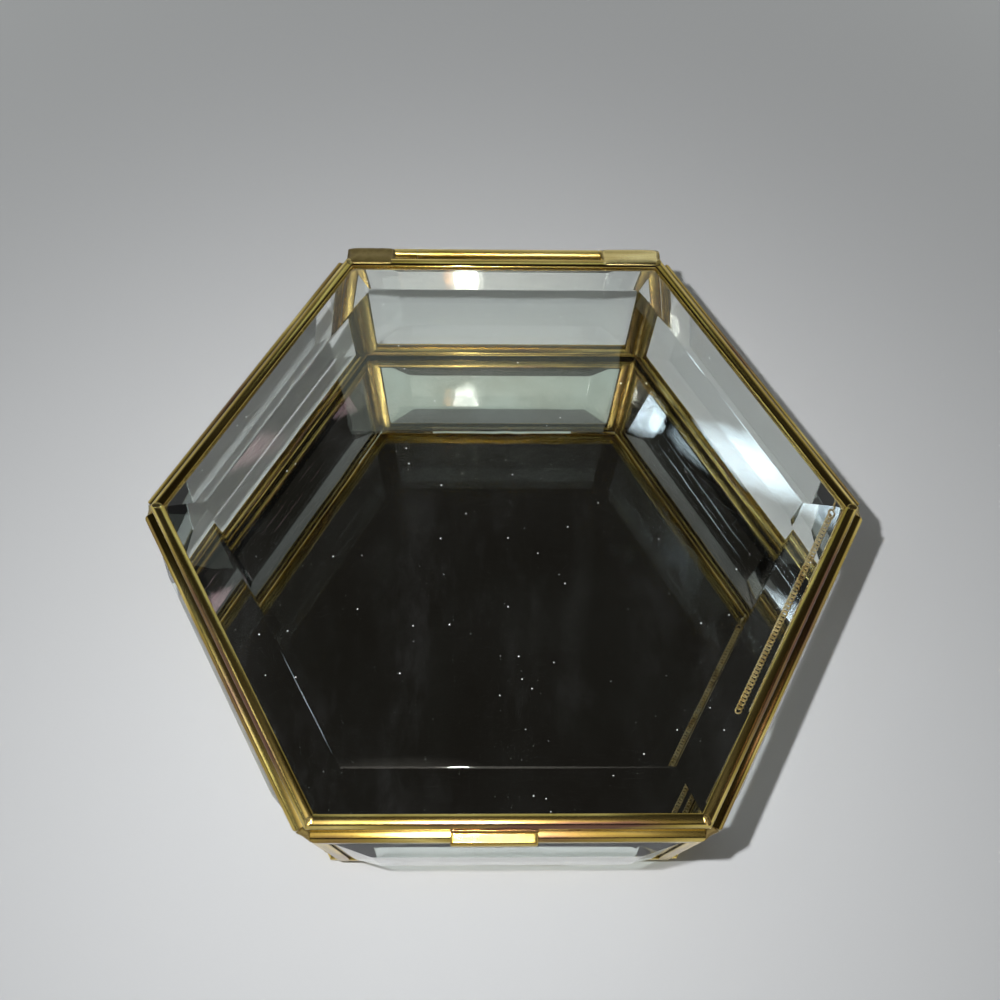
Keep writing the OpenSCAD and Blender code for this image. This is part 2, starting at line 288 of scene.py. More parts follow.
def plate_glass(name, colours, density, dust, veil):
    """Float glass, ground and polished by hand. It is clear, green where the way through it
    is long, and a little wavy. Dust lies on it in specks 20 to 40 mm apart, and wiped smears
    show as a thin milky veil."""
    tint, absorb = colours
    material, tree, where, out = new_material(name)
    cells = add_node(
        tree, "ShaderNodeTexVoronoi", None, Vector=where, Scale=1 / SPECK_CELL, Randomness=1.0,
    )
    near = add_node(
        tree, "ShaderNodeMath", {"operation": "LESS_THAN"}, n0=cells.outputs["Distance"], n1=SPECK,
    )
    some = add_node(
        tree, "ShaderNodeMath", {"operation": "LESS_THAN"}, n0=cells.outputs["Color"], n1=dust,
    )
    specks = add_node(
        tree, "ShaderNodeMath", {"operation": "MULTIPLY"}, n0=near.outputs[0], n1=some.outputs[0],
    )
    wiped = add_node(tree, "ShaderNodeMapping", None, Vector=where, Scale=(1.0, 0.4, 1.0))
    smears = add_node(
        tree, "ShaderNodeTexNoise", None,
        Vector=wiped.outputs[0], Scale=1 / SMEAR, Detail=6.0, Roughness=0.7,
    ).outputs["Fac"]
    milky = add_node(
        tree, "ShaderNodeMapRange", None, Value=smears, n1=0.54, n2=0.8, n3=0.0, n4=veil,
    )
    cover = add_node(
        tree, "ShaderNodeMath", {"operation": "MAXIMUM"}, n0=specks.outputs[0], n1=milky.outputs[0],
    )
    clear = add_node(
        tree, "ShaderNodeMath", {"operation": "SUBTRACT"}, n0=1.0, n1=cover.outputs[0],
    )
    ground = add_node(
        tree, "ShaderNodeTexNoise", None, Vector=where, Scale=1 / POLISH_WAVE, Detail=1.0,
    ).outputs["Fac"]
    polish = add_node(
        tree, "ShaderNodeBump", None, Strength=0.25, Distance=0.05 * MM, Height=ground,
    )
    shader = add_node(
        tree, "ShaderNodeBsdfPrincipled", None,
        Base_Color=linear(tint), Roughness=0.0, IOR=1.52, Transmission_Weight=clear.outputs[0],
        Normal=polish.outputs[0],
    )
    # Lamps shine through the plate as through real glass, less and less at a flat angle
    slant = add_node(tree, "ShaderNodeLayerWeight", None, Blend=0.5)
    thinned = add_node(
        tree, "ShaderNodeValToRGB", {"stops": LET_THROUGH}, Fac=slant.outputs["Facing"],
    )
    open_way = add_node(tree, "ShaderNodeBsdfTransparent", None, Color=thinned.outputs[0])
    rays = add_node(tree, "ShaderNodeLightPath")
    both = add_node(
        tree, "ShaderNodeMixShader", None,
        n0=rays.outputs["Is Shadow Ray"], n1=shader.outputs[0], n2=open_way.outputs[0],
    )
    body = add_node(
        tree, "ShaderNodeVolumeAbsorption", None, Color=linear(absorb), Density=density,
    )
    tree.links.new(both.outputs[0], out.inputs["Surface"])
    tree.links.new(body.outputs[0], out.inputs["Volume"])
    return material


def silvering(name, colour):
    """Silver laid chemically on the back of the glass. It is a clean mirror, a little warmer
    and darker in clouds about 30 mm across."""
    material, tree, where, out = new_material(name)
    age = add_node(
        tree, "ShaderNodeTexNoise", None, Vector=where, Scale=1 / (30 * MM), Detail=3.0,
    ).outputs["Fac"]
    tone = add_node(
        tree, "ShaderNodeValToRGB", {"stops": [(0.3, "#C2C0B8"), (0.6, colour)]}, Fac=age,
    )
    shader = add_node(
        tree, "ShaderNodeBsdfPrincipled", None,
        Base_Color=tone.outputs[0], Metallic=1.0, Roughness=0.015,
    )
    tree.links.new(shader.outputs[0], out.inputs["Surface"])
    return material


def backing_paint(name, colour):
    """Grey protective paint brushed over the silver: matt, with brush marks 1 mm apart."""
    material, tree, where, out = new_material(name)
    brushed = add_node(tree, "ShaderNodeMapping", None, Vector=where, Scale=(0.08, 1.0, 1.0))
    strokes = add_node(
        tree, "ShaderNodeTexNoise", None,
        Vector=brushed.outputs[0], Scale=1 / (1.2 * MM), Detail=4.0, Roughness=0.6,
    ).outputs["Fac"]
    tone = add_node(
        tree, "ShaderNodeValToRGB", {"stops": [(0.3, "#4A4844"), (0.7, colour)]}, Fac=strokes,
    )
    marks = add_node(
        tree, "ShaderNodeBump", None, Strength=0.3, Distance=0.05 * MM, Height=strokes,
    )
    shader = add_node(
        tree, "ShaderNodeBsdfPrincipled", None,
        Base_Color=tone.outputs[0], Roughness=0.7, Normal=marks.outputs[0],
    )
    tree.links.new(shader.outputs[0], out.inputs["Surface"])
    return material


def coat(objects, material):
    """Gives each object this one material."""
    for item in objects:
        item.data.materials.clear()
        item.data.materials.append(material)


def nodes_named(*starts):
    """Packed objects whose names start so."""
    return [o for n, o in NODES.items() if n.startswith(starts)]


# ---- Settings ------------------------------------------------------------------------


def length(name, description, default):
    """Setting that holds a length in metres."""
    return bpy.props.FloatProperty(
        name=name, description=description, default=default, unit="LENGTH", precision=6
    )


def hex_colour(name, description, default):
    """Setting that holds a colour."""
    return bpy.props.StringProperty(
        name=name, description=description + ", as sRGB hex", default=default
    )


def number(name, description, default, low=0.0, high=1.0):
    """Setting that holds a number between low and high."""
    return bpy.props.FloatProperty(
        name=name, description=description, default=default, min=low, max=high
    )


# ---- Chain ---------------------------------------------------------------------------

# Points round a link and round its wire
ROUND_LINK, ROUND_WIRE = 14, 5


def curb_links(anchor, along, flat, s):
    """Twisted oval links in a row. With t round a link, its wire's middle runs through
    (length/2 cos t, width/2 sin t, twist sin 2t); the wire is a tube round that line, and
    the angle a goes round the tube."""
    t = np.linspace(0, 2 * np.pi, ROUND_LINK, endpoint=False)
    a = np.linspace(0, 2 * np.pi, ROUND_WIRE, endpoint=False)
    line = np.stack(
        [s.link / 2 * np.cos(t), s.width / 2 * np.sin(t), s.twist * np.sin(2 * t)], -1
    )
    run = np.stack(
        [-s.link / 2 * np.sin(t), s.width / 2 * np.cos(t), 2 * s.twist * np.cos(2 * t)], -1
    )
    run /= np.linalg.norm(run, axis=1, keepdims=True)
    outward = np.stack([np.cos(t), np.sin(t), 0 * t], -1)
    one, two = ring_frames(run, outward)
    ring = line[:, None] + s.wire / 2 * (
        np.cos(a)[:, None] * one[:, None] + np.sin(a)[:, None] * two[:, None]
    )
    axes = np.stack([along, flat, np.cross(along, flat)])
    # The first link hangs on the inside of the eye, with a little play
    first = s.link / 2 - s.wire - s.play
    steps = first + s.pitch * np.arange(s.count)
    points = anchor + (ring @ axes)[None] + steps[:, None, None, None] * along
    quads = grid_faces(ROUND_LINK, ROUND_WIRE, True)
    starts = ROUND_LINK * ROUND_WIRE * np.arange(s.count)
    return points, (quads[None] + starts[:, None, None]).reshape(-1, 4)


class CasketChainSettings(bpy.types.PropertyGroup):
    wire: length("Wire", "Diameter of the chain wire", 0.42 * MM)
    link: length("Link length", "Length of a link between wire middles", 1.5 * MM)
    width: length("Link width", "Width of a link between wire middles", 1.3 * MM)
    twist: length("Twist", "How far the wire of a link leaves its middle plane", 0.3 * MM)
    play: length("Play", "Play between the first link and its eye", 0.05 * MM)
    pitch: length("Pitch", "Distance from link to link", 1.05 * MM)
    count: bpy.props.IntProperty(
        name="Links", description="Number of links in each half of the folded chain",
        default=53, min=8, max=80,
    )
    colour: hex_colour("Colour", "Colour of the gilt wire", "#FBEBBB")


class CASKET_OT_chain(bpy.types.Operator):
    """Makes both halves of the folded stay chain from twisted curb links"""

    bl_idname = "casket.make_chain"
    bl_label = "Stay Chain"

    def execute(self, context):
        s = context.scene.casket_chain
        colours = (s.colour, "#E8CF8E", "#C7A566")
        gilt = brass("gilt_chain_wire", colours, rough=0.3, wave_mm=1.5, drawn=EVEN)
        flat = np.array([-ALONG_RAIL[1], ALONG_RAIL[0], 0.0])
        for half in ("chain_lower", "chain_upper"):
            anchor = np.array(JOINTS[half + "_swing"]["pos_m"])
            points, faces = curb_links(anchor, ALONG_RAIL, flat, s)
            piece = add_mesh("curb_" + half, points, faces)
            coat([piece], gilt)
            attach(piece, half)
            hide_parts(half)
        coat(nodes_named("box_chain_eye", "lid_chain_eye"), gilt)
        return {"FINISHED"}


# ---- Mirror --------------------------------------------------------------------------


class CasketMirrorSettings(bpy.types.PropertyGroup):
    gap: length("Gap", "Hairline of air between the glass and the silver", 0.01 * MM)
    silver: hex_colour("Silver", "Colour of the silver", "#DDE0DE")
    paint: hex_colour("Paint", "Colour of the paint on the back", "#6B6863")
    tint: hex_colour("Glass tint", "Colour that the glass takes with depth", "#A9D2C2")


class CASKET_OT_mirror(bpy.types.Operator):
    """Silvers the back of the base mirror and paints it underneath"""

    bl_idname = "casket.make_mirror"
    bl_label = "Base Mirror"

    def execute(self, context):
        s = context.scene.casket_mirror
        low, high = (np.array(v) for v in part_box("mirror_backing"))
        ring = (high[0] - low[0]) / 2 * np.stack([np.cos(TURNS), np.sin(TURNS), 0 * TURNS], -1)
        sections = ring + np.array([[[0, 0, low[2]]], [[0, 0, high[2] - s.gap]]])
        faces = closed_skin(sections)
        piece = add_mesh("silvered_backing", sections, faces, smooth=False)
        piece.data.materials.append(silvering("silvered_back_of_mirror", s.silver))
        piece.data.materials.append(backing_paint("mirror_backing_paint", s.paint))
        piece.data.polygons.foreach_set("material_index", [1] * (len(faces) - 1) + [0])
        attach(piece, "box")
        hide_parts("mirror_backing")
        glass = plate_glass(
            "mirror_plate_glass", ("#FFFFFF", s.tint), density=12.0, dust=0.1, veil=0.004
        )
        coat([NODES["mirror_glass"]], glass)
        return {"FINISHED"}


# ---- Glass ---------------------------------------------------------------------------


class CasketGlassSettings(bpy.types.PropertyGroup):
    tint: hex_colour("Tint", "Colour that the glass takes with depth", "#B5DACE")
    density: number("Density", "How fast the tint grows with depth, per metre", 12.0, high=200.0)
    dust: number("Dust", "Share of the places on the lid where a speck lies", 0.45)
    veil: number("Smears", "How milky the wiped smears on the lid are", 0.007)
    ridge: length("Ridge", "Half the width of the ridge where a bevel meets the flat", 0.28 * MM)
    arris: length("Arris", "Width of the small chamfer round the cut edges", 0.12 * MM)


def bevelled_plate(corners, edge, thick, bevel, ridge, arris):
    """Sections of a bevelled plate, flat below, whose corners run left-handed round it. A
    section is the outline moved in by d along its mitres, at height h. The pairs (d, h) go up
    the edge, over the bevel and round the ridge, a parabola between the slope and the flat."""
    ahead = np.roll(corners, -1, 0) - corners
    ahead /= np.linalg.norm(ahead, axis=1, keepdims=True)
    inward = np.stack([-ahead[:, 1], ahead[:, 0]], -1)
    before = np.roll(inward, 1, 0)
    mitre = (inward + before) / (1 + (inward * before).sum(-1, keepdims=True))
    slope = (thick - edge) / bevel
    t = np.linspace(0, 1, 5)
    over_d = bevel + ridge * (2 * t - 1)
    over_h = thick - ridge * slope * (1 - t) ** 2
    d = np.concatenate([[arris, 0, 0, arris], over_d])
    h = np.concatenate([[0, arris, edge - arris, edge + arris * slope], over_h])
    flat = corners + d[:, None, None] * mitre
    heights = np.broadcast_to(h[:, None, None], (len(h), len(corners), 1))
    return np.concatenate([flat, heights], -1)


class CASKET_OT_glass(bpy.types.Operator):
    """Makes the bevelled panes of the walls and the lid, with their polished ridges"""

    bl_idname = "casket.make_panes"
    bl_label = "Bevelled Panes"

    def execute(self, context):
        s = context.scene.casket_glass
        sheet = plate_glass(
            "bevelled_wall_glass", ("#FFFFFF", s.tint), s.density, dust=0.1, veil=0.003
        )
        cut = node_points("wall_pane_back")
        low, high = cut.min(0), cut.max(0)
        wide, tall = high[0], (high[2] - low[2]) / 2
        bevel = wide - cut[cut[:, 1] > high[1] - HAIR][:, 0].max()
        edge = cut[cut[:, 0] > wide - HAIR][:, 1].max() - low[1]
        corners = np.array([[-wide, -tall], [wide, -tall], [wide, tall], [-wide, tall]])
        flat = bevelled_plate(corners, edge, high[1] - low[1], bevel, s.ridge, s.arris)
        upright = np.stack(
            [-flat[..., 0], low[1] + flat[..., 2], low[2] + tall + flat[..., 1]], -1
        )
        for side, angle in zip(SIDES, TURNS):
            plate = turned(upright, angle)
            piece = add_mesh("bevelled_pane_" + side, plate, closed_skin(plate), smooth=False)
            coat([piece], sheet)
            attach(piece, "box")
            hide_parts("wall_pane_" + side)

        cut = node_points("lid_pane")
        low, high = cut.min(0), cut.max(0)
        reach = high[0]
        inner = cut[cut[:, 2] > high[2] - HAIR][:, 0].max()
        edge = cut[cut[:, 0] > reach - HAIR][:, 2].max() - low[2]
        corners = reach * np.stack([np.cos(TURNS), np.sin(TURNS)], -1)
        bevel = (reach - inner) * np.cos(np.radians(30))
        plate = bevelled_plate(corners, edge, high[2] - low[2], bevel, s.ridge, s.arris)
        plate += np.array([0, (low[1] + high[1]) / 2, low[2]])
        piece = add_mesh("bevelled_lid_plate", plate, closed_skin(plate), smooth=False)
        lid_glass = plate_glass(
            "bevelled_lid_glass", ("#FFFFFF", s.tint), s.density, s.dust, s.veil
        )
        coat([piece], lid_glass)
        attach(piece, "lid")
        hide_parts("lid_pane")
        return {"FINISHED"}


# ---- Brass ---------------------------------------------------------------------------


class CasketBrassSettings(bpy.types.PropertyGroup):
    bright: hex_colour("Bright", "Colour of the brass where its lacquer is whole", "#ECD282")
    deep: hex_colour("Deep", "Colour of the brass in its darker patches", "#B59B50")
    # Purple brown of the patches: partly tarnish, partly a painted reflection of the dark room
    tarnish_and_dark_reflection: hex_colour("Tarnish", "Purple brown of the worn patches", "#7F5C4C")
    roughness: number("Roughness", "Mean roughness of the rolled brass", 0.15, 0.05, 0.8)
    came: length("Came width", "Width of the web of the brass came", 4.0 * MM)


class CASKET_OT_brass(bpy.types.Operator):
    """Gives the came and the hinge their brass, drawn along each length"""

    bl_idname = "casket.finish_brass"
    bl_label = "Brass Frames"

    def execute(self, context):
        s = context.scene.casket_brass
        colours = (s.bright, s.deep, s.tarnish_and_dark_reflection)
        for side, angle in zip(SIDES, TURNS):
            outward = np.array([-np.sin(angle), np.cos(angle), 0.0])
            turn = (0, 0, angle)
            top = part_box("wall_top_rail_" + side)
            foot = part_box("wall_bottom_rail_" + side)
            # Inner and outer faces of the rails, one above the other, and the top of the wall
            tall = top[1][2] - top[0][2]
            step = (top[0][2] - foot[0][2]) / round((top[0][2] - foot[0][2]) / tall)
            web = np.max(node_points("wall_top_rail_" + side) @ outward)
            came = brass(
                "rolled_brass_came_" + side, colours, s.roughness, 4, turn,
                crowns=(("Z", foot[0][2], step), ("Y", web - s.came, s.came)),
            )
            names = [kind + side for kind in ("base_rail_", "wall_top_rail_", "wall_bottom_rail_")]
            coat([NODES[name] for name in names], came)

            leg = node_points("lid_rail_" + side) @ outward
            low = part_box("lid_rail_" + side)[0][2]
            lid_came = brass(
                "rolled_brass_lid_came_" + side, colours, s.roughness, 4, turn,
                crowns=(("Z", low, s.came), ("Y", leg.min(), np.ptp(leg))),
            )
            coat([NODES["lid_rail_" + side]], lid_came)

            across = np.abs(turned(node_points("wall_left_rail_" + side), -angle)[:, 0])
            upright = brass(
                "rolled_brass_upright_" + side, colours, s.roughness + 0.09, 4, turn,
                drawn=(1, 1, 12), crowns=(("X", across.min(), np.ptp(across)),),
            )
            coat(nodes_named("wall_left_rail_" + side, "wall_right_rail_" + side), upright)
        tube = brass("drawn_brass_tube", ("#EED68C", s.bright, s.deep), s.roughness + 0.17, 5)
        coat(nodes_named("hinge_knuckle", "hinge_pin", "lid_knuckle"), tube)
        return {"FINISHED"}


# ---- Solder --------------------------------------------------------------------------


class CasketSolderSettings(bpy.types.PropertyGroup):
    colour: hex_colour("Colour", "Colour of the gilded solder", "#E2CC8A")
    bead: bpy.props.FloatVectorProperty(
        name="Bead", description="Half length, half width and height of a bead on the lid",
        default=(1.2 * MM, 0.75 * MM, 0.08 * MM), subtype="XYZ", unit="LENGTH", precision=6,
    )
    seam: length("Seam", "Depth of the solder in the upright corners", 1.8 * MM)
    bridge: length("Bridge", "Depth of the solder at both ends of these corners", 3.5 * MM)
    flood_left: length("Left end", "Length of hinge tube flooded at the left", 12.0 * MM)
    flood_right: length("Right end", "Length of hinge tube flooded at the right", 15.2 * MM)


# First random seeds of the lumps on the beads, the flooded ends, the upright seams and the tab
BEAD_SEED, FLOOD_SEED, SEAM_SEED, TAB_SEED = 11, 3, 70, 9


def lumps(t, seed, count=4):
    """Sum of a few sines of t with periods of 1, 1/2, 1/3 and so on. The 1.8 brings it between
    -1 and 1 or so."""
    r = np.random.default_rng(seed)
    k = np.arange(1, count + 1)
    waves = np.sin(2 * np.pi * (k * t[..., None] + r.random(count))) / np.sqrt(k)
    return waves.sum(-1) / 1.8


def solder_bead(centre, angle, size, seed):
    """Low mound: with f round it and e up from its rim, the rim is an ellipse with lumps, and
    the point is (rim cos e, tall sin e)."""
    long, wide, tall = size
    f = 2 * np.pi * np.arange(20) / 20
    rim = 1 / np.sqrt((np.cos(f) / long) ** 2 + (np.sin(f) / wide) ** 2)
    rim *= 1 + 0.14 * lumps(f / 2 / np.pi, seed, 3)
    e = np.radians([0, 0, 20, 40, 58, 74, 86])[:, None]
    up = tall * np.sin(e) * (1 + 0.12 * lumps(f / 2 / np.pi, seed + 50, 2))
    up[0] -= 0.15 * MM
    flat = rim * np.cos(e)
    points = np.stack([flat * np.cos(f), flat * np.sin(f), up], -1)
    return turned(points, angle) + centre


def flooded_end(x, axis, radius, rail_face, rail_top, seed):
    """Sheet of solder run over a knuckle. Its profile starts on the rail, falls to the tube and
    follows it round the back, d above it; d fades to nothing at both ends along X."""
    y, z = axis
    a = np.radians(np.linspace(100, -25, 12))
    under = np.concatenate([
        [[rail_face - 2.3 * MM, rail_top - 0.05 * MM], [rail_face - 1.2 * MM, rail_top - 0.05 * MM],
         [rail_face + 0.2 * MM, rail_top - 0.5 * MM], [rail_face + 1.0 * MM, rail_top - 0.9 * MM]],
        np.stack([y + (radius - 0.1 * MM) * np.cos(a), z + (radius - 0.1 * MM) * np.sin(a)], -1),
    ])
    out = np.concatenate([
        [[0.0, 0.04], [0.0, 0.16], [0.1, 0.42], [0.1, 0.5]],
        np.linspace(0.42, 0.12, 12)[:, None] * np.stack([np.cos(a), np.sin(a)], -1),
    ]) * MM
    t = np.linspace(-1, 1, 15)
    fade = np.sqrt(1 - np.clip(np.abs(t), 0, 0.995) ** 8)[:, None, None]
    swell = 1 + 0.1 * lumps((t[:, None] + np.linspace(0, 0.6, 16)) / 2, seed)[..., None]
    over = under + out * fade * swell
    profile = np.concatenate([np.broadcast_to(under, over.shape), over[:, ::-1]], 1)
    # The outlines of the ends wave by half a millimetre
    wave = 0.5 * MM * np.sin(np.linspace(0, 9, profile.shape[1]))
    slant = wave * np.sign(t)[:, None] * t[:, None] ** 4
    along = (x[0] + x[1]) / 2 + (x[1] - x[0]) / 2 * t[:, None] + slant
    return np.concatenate([along[..., None], profile], -1)


def knuckle_web(x, axis, radius, rail_face):
    """Fillet between the lid's rail and a knuckle: hollow above, flat below."""
    y, z = axis
    a = np.radians(np.linspace(205, 128, 7))
    tube = np.stack([y + (radius - 0.1 * MM) * np.cos(a), z + (radius - 0.1 * MM) * np.sin(a)], -1)
    face = rail_face - 0.05 * MM
    hollow = [[rail_face + 0.9 * MM, z + 0.95 * radius], [rail_face + 0.3 * MM, z + 1.15 * radius]]
    ring = np.concatenate([[[face, z - 0.45 * radius]], tube, hollow, [[face, z + 1.5 * radius]]])
    ends = np.array([x[0] + 0.2 * MM, x[1] - 0.2 * MM])
    return np.stack([np.column_stack([np.full(len(ring), end), ring]) for end in ends])


def corner_seam(apex, low, high, depths, seed):
    """Solder in the open corner between two wall frames, which is a V of 60 degrees. With u
    across the V and v up it, the point lies rho(v) (0.8 + 0.2 (u/30)^2) from its bottom."""
    seam, bridge = depths
    v = np.linspace(0, 1, 49)
    z = low + (high - low) * v
    end = np.minimum(z - low, high - z)
    wide = np.clip((5.2 * MM - end) / (2.2 * MM), 0, 1)
    rho = seam + (bridge - seam) * wide**2 * (3 - 2 * wide) + 0.16 * MM * lumps(v * 2.3, seed, 5)
    rho *= np.sqrt(np.clip(end / (0.5 * MM), 0.2, 1))
    u = np.radians(np.linspace(-30.4, 30.4, 9))
    shape = 0.8 + 0.2 * (u / u[-1]) ** 2
    far = rho[:, None] * shape
    heights = np.broadcast_to(z[:, None], far.shape)
    ring = np.stack([apex + far * np.cos(u), far * np.sin(u), heights], -1)
    root = np.stack([np.full(len(z), apex), 0 * z, z], -1)
    return np.concatenate([root[:, None], ring], 1)


class CASKET_OT_solder(bpy.types.Operator):
    """Makes the beads and flooded ends of the lid and the seams of the upright corners"""

    bl_idname = "casket.make_solder"
    bl_label = "Solder"

    def execute(self, context):
        s = context.scene.casket_solder
        colours = (s.colour, "#BDA461", "#A38A58")
        gilded = brass("gilded_solder", colours, rough=0.2, wave_mm=1.8, drawn=EVEN)
        # The left end of the hinge gets a darker, rougher copy of the solder as painted shade,
        #         the right one a lighter, glossier copy as painted sheen
        colours = ("#8F7E50", "#867549", "#7B6A44")
        shaded_solder_copy = brass("painted_shade_flooded_solder", colours, rough=0.42, wave_mm=6, drawn=EVEN)
        # Lighter copy of the same solder, its colour a painted sheen
        colours = ("#F0DFA0", "#DCC583", "#C2A968")
        sheen_solder_copy = brass("painted_sheen_flooded_solder", colours, rough=0.26, wave_mm=5)
        back, front = node_points("lid_rail_back"), node_points("lid_rail_front")
        face, top = back[:, 1].max(), back[:, 2].max()
        leg = face - back[:, 1].min()
        reach, middle = (face - front[:, 1].min()) / 2, (face + front[:, 1].min()) / 2
        at = (reach - leg / 2) / np.cos(np.radians(30))
        skins = [
            solder_bead(
                np.array([at * np.cos(a), middle + at * np.sin(a), top]), a, s.bead, BEAD_SEED + k
            )
            for k, a in enumerate(TURNS)
        ]
        axis = JOINTS["lid_hinge"]["pos_m"][1:]
        radius = np.ptp(node_points("hinge_knuckle")[:, 2]) / 2
        left = node_points("lid_knuckle_left")[:, 0]
        right = node_points("lid_knuckle_right")[:, 0]
        from_left = (left.min(), left.min() + s.flood_left)
        from_right = (right.max() - s.flood_right, right.max())
        skins += [
            flooded_end(from_left, axis, radius, face, top, FLOOD_SEED),
            flooded_end(from_right, axis, radius, face, top, FLOOD_SEED + 1),
            knuckle_web((left.min(), left.max()), axis, radius, face),
            knuckle_web((right.min(), right.max()), axis, radius, face),
        ]
        piece = join_skins("gilded_lid_solder", skins)
        for metal in (gilded, shaded_solder_copy, sheen_solder_copy):
            piece.data.materials.append(metal)
        # Six beads, the left and the right end, and two webs
        kinds = [0] * 6 + [1, 2] + [0] * 2
        counts = [len(closed_skin(sections)) for sections in skins]
        piece.data.polygons.foreach_set("material_index", np.repeat(kinds, counts))
        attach(piece, "lid")
        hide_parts("lid_solder")

        fill = node_points("corner_solder")
        right_corner = fill[np.abs(np.arctan2(fill[:, 1], fill[:, 0])) < 0.2]
        apex, low, high = right_corner[:, 0].min(), fill[:, 2].min(), fill[:, 2].max()
        seams = [
            turned(corner_seam(apex, low, high, (s.seam, s.bridge), SEAM_SEED + k), a)
            for k, a in enumerate(TURNS)
        ]
        piece = join_skins("gilded_corner_seams", seams)
        coat([piece], gilded)
        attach(piece, "box")
        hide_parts("corner_solder")
        coat(nodes_named("hinge_solder"), gilded)
        return {"FINISHED"}


# ---- Pull tab ------------------------------------------------------------------------


class CasketTabSettings(bpy.types.PropertyGroup):
    colour: hex_colour("Colour", "Colour of the folded brass strip", "#DFC57C")
    thick: length("Thickness", "Thickness of the strip", 0.5 * MM)
    bend: length("Bend", "Inner radius of both bends", 0.3 * MM)
    corner: length("Corner", "Radius of the two corners of the lip", 1.1 * MM)
    rise: length("Rise", "How much higher the outer end of the ledge lies", 0.25 * MM)


class CASKET_OT_tab(bpy.types.Operator):
    """Folds the pull tab from a strip of brass with rounded bends"""

    bl_idname = "casket.make_tab"
    bl_label = "Pull Tab"

    def execute(self, context):
        s = context.scene.casket_tab
        low, high = (np.array(v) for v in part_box("pull_tab"))
        half = s.thick / 2
        bend = s.bend + half
        ledge = np.unique(np.round(node_points("pull_tab")[:, 2], 6))
        ledge = ledge[(ledge > low[2] + s.thick) & (ledge < high[2] - s.thick)].min() + half
        leg, lip = high[1] - half, low[1] + half
        a = np.radians(np.linspace(0, 90, 7))
        # Middle line in the Y-Z plane: down the leg, round, out, round and down the lip
        line = np.concatenate([
            [[leg, high[2] - half], [leg, ledge + bend + 0.3 * MM]],
            np.stack([leg - bend + bend * np.cos(a), ledge + bend - bend * np.sin(a)], -1),
            np.stack([lip + bend - bend * np.sin(a), ledge - bend + bend * np.cos(a)], -1),
            [[lip, low[2] + half]],
        ])
        run = np.gradient(line, axis=0)
        run /= np.linalg.norm(run, axis=1, keepdims=True)
        side = half * np.stack([-run[:, 1], run[:, 0]], -1)
        x = np.linspace(low[0], high[0], 41)
        inset = np.maximum(s.corner - np.minimum(x - low[0], high[0] - x), 0)
        lift = (s.corner - np.sqrt(s.corner**2 - inset**2))[:, None]
        # Both side edges are thinner, and both ends of the strip are rounded
        thin = np.where((x == x[0]) | (x == x[-1]), 0.7, 1.0)[:, None, None]
        middle = np.repeat(line[None], len(x), 0)
        middle[:, -1, 1] += lift[:, 0]
        # The ledge isn't quite flat, and rises to its outer bend, which is points 9 to 15
        wobble = 0.05 * MM * lumps(x / 12 / MM, TAB_SEED, 3)
        middle[:, 7:16, 1] += 0.3 * wobble[:, None]
        middle[:, 9:16, 1] += s.rise
        nose = run[-1] * half * 0.8
        tail = run[0] * half * 0.8
        rim = np.concatenate([
            middle + side * thin, (middle[:, -1] + nose)[:, None],
            (middle - side * thin)[:, ::-1], (middle[:, 0] - tail)[:, None],
        ], 1)
        sections = np.concatenate([np.broadcast_to(x[:, None, None], (*rim.shape[:2], 1)), rim], -1)
        piece = join_skins("folded_pull_tab", [sections[:, ::-1]])
        colours = (s.colour, "#BF9A45", "#8E6A4C")
        coat([piece], brass("folded_brass_strip", colours, rough=0.17, wave_mm=5))
        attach(piece, "lid")
        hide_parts("pull_tab")
        return {"FINISHED"}


# ---- Stage ---------------------------------------------------------------------------


class CasketStageSettings(bpy.types.PropertyGroup):
    floor: hex_colour("Floor", "Colour of the floor", "#CDCDCC")
    low_room: hex_colour("Low room", "Colour of the room up to eye height", "#D6DAD9")
    high_room: hex_colour("High room", "Colour of the ceiling", "#24221F")
    card: hex_colour("Card", "Colour of the card behind the casket", "#A9B4AB")
    room_light: number("Room light", "Strength of the room's light on matt things", 0.5, high=2.0)
    room_shown: number("Room shown", "Strength at which the room itself is seen", 0.9, high=2.0)
    key_watts: bpy.props.FloatProperty(
        name="Key lamp", description="Power of the daylight lamp high on the left",
        default=0.15, unit="POWER",
    )
    fill_watts: bpy.props.FloatProperty(
        name="Fill lamp", description="Power of the pinkish lamp high on the right",
        default=0.022, unit="POWER",
    )
    front_watts: bpy.props.FloatProperty(
        name="Front lamp", description="Power of the small lamp beside the camera",
        default=0.91, unit="POWER",
    )
    camera_place: bpy.props.FloatVectorProperty(
        name="Camera place", description="Where the camera stands",
        default=(-5.39 * MM, -98.68 * MM, 270.58 * MM), subtype="XYZ", unit="LENGTH", precision=4,
    )
    camera_turn: bpy.props.FloatVectorProperty(
        name="Camera turn", description="Turn of the camera about X, Y and Z",
        default=tuple(np.radians([24.70, -0.91, -0.27])), subtype="EULER",
    )
    lens: bpy.props.FloatProperty(
        name="Lens", description="Focal length on a 36 mm wide sensor, in millimetres",
        default=35.6, min=10.0, max=200.0,
    )


# Where the lamps point, and where they stand: window, far side and beside the camera
MIDDLE = (0, 0, 0.02)
WINDOW, FAR_SIDE, BESIDE = (-0.43, 0.02, 0.83), (0.43, 0.03, 0.83), (-0.043, -0.079, 0.295)
